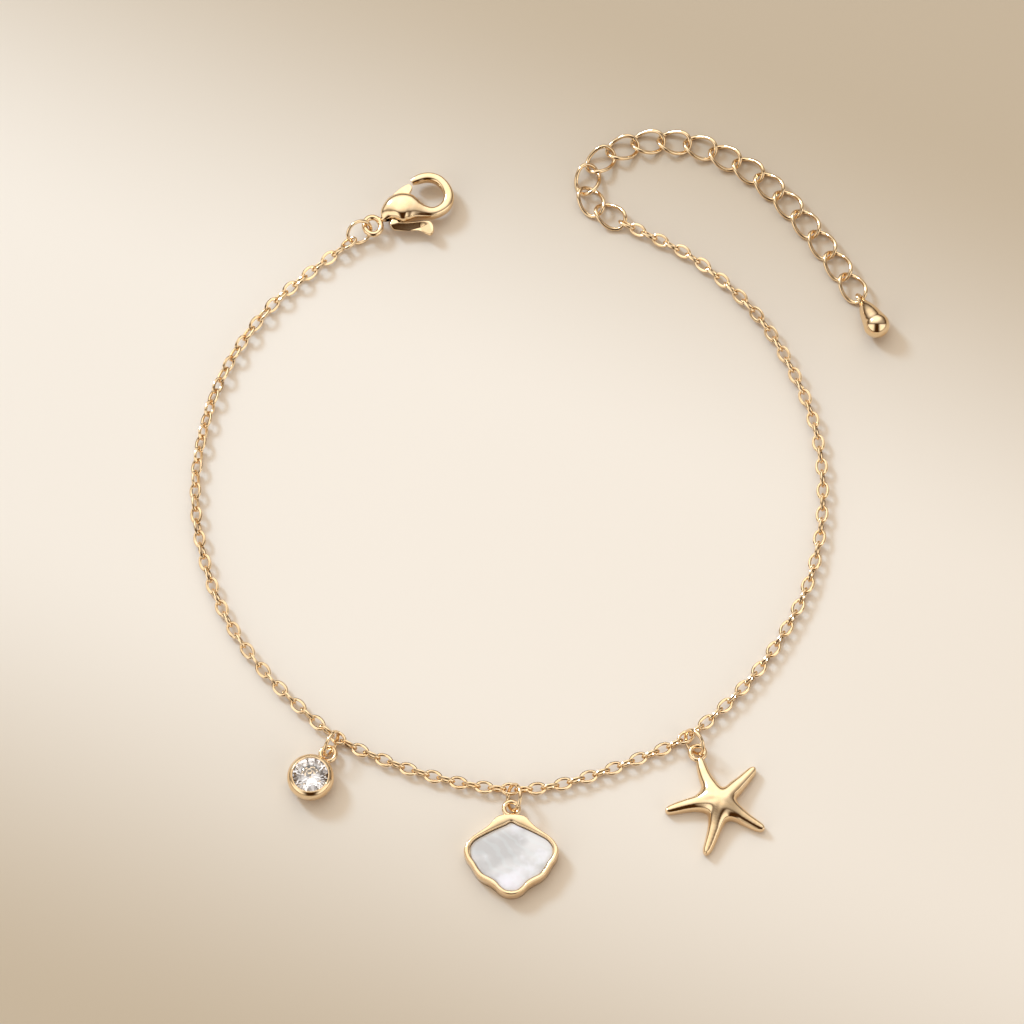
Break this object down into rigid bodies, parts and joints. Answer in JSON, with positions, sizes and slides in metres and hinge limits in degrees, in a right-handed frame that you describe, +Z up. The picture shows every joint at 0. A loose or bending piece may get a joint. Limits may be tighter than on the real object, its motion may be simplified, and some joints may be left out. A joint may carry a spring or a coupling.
{
  "type": "charm anklet",
  "caption": "Gold-plated cable chain anklet lying in a loop, with stone, shell and starfish charms, a lobster clasp and an extender chain with a ball drop.",
  "frame": {"origin": "middle of the footprint, on the surface that the anklet lies on", "axes": "+X to the right in the picture, +Y away from the camera towards the clasp and the extender, +Z up"},
  "size_m": [0.088, 0.102, 0.0036],
  "materials": {
    "gold": "polished, gold plated",
    "stone": "cut and polished",
    "mother_of_pearl": "polished mother-of-pearl"
  },
  "bodies": {
    "anklet": {"chain_a": "gold", "chain_b": "gold", "chain_c": "gold", "chain_d": "gold", "end_link_clasp": "gold", "carrier_link_stone": "gold", "carrier_link_shell": "gold", "carrier_link_star": "gold", "end_link_extender": "gold", "ring_stone": "gold", "ring_shell": "gold", "ring_star": "gold", "clasp_ring": "gold", "clasp_body": "gold", "stone_bezel": "gold", "shell_frame": "gold", "starfish": "gold", "extender_link_01": "gold", "extender_link_02": "gold", "extender_link_03": "gold", "extender_link_04": "gold", "extender_link_05": "gold", "extender_link_06": "gold", "extender_link_07": "gold", "extender_link_08": "gold", "extender_link_09": "gold", "extender_link_10": "gold", "extender_link_11": "gold", "extender_link_12": "gold", "extender_link_13": "gold", "extender_link_14": "gold", "extender_link_15": "gold", "extender_link_16": "gold", "end_drop": "gold", "stone": "stone", "shell_inlay": "mother_of_pearl"},
    "lever": {"clasp_lever": "gold"}
  },
  "joints": [
    {"name": "lever_pivot", "type": "hinge", "parent": "anklet", "child": "lever", "pos_m": [-0.01879, 0.03948, 0.00153], "axis": [0, 0, -1], "range_deg": [0, 20], "stiffness_Nm_per_rad": 0.006, "springref_deg": -28.65}
  ]
}
